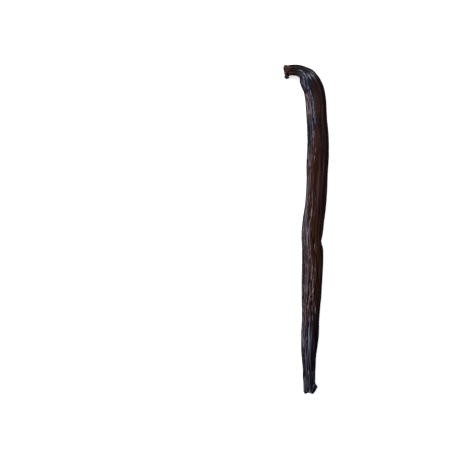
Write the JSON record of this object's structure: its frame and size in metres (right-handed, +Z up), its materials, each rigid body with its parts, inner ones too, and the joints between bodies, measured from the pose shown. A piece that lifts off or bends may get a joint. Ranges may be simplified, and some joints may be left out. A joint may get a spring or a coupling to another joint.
{
  "type": "vanilla pod",
  "caption": "Cured vanilla pod lying flat: a long, slightly bowed and wrinkled body, a ragged blossom end, and a neck bent at a right angle with a corky scar.",
  "frame": {"origin": "centre of the pod's box in plan, at the surface that the pod lies on", "axes": "+Y along the body from the blossom end to the bend, +Z up, -X the way the neck points"},
  "size_m": [0.0212, 0.1516, 0.0069],
  "materials": {
    "pod_skin": "dark red-brown to bluish-black cured skin, oily satin, wrinkled along its length; tan cork at the scar"
  },
  "bodies": {
    "root": {"pod": "pod_skin"}
  },
  "joints": []
}
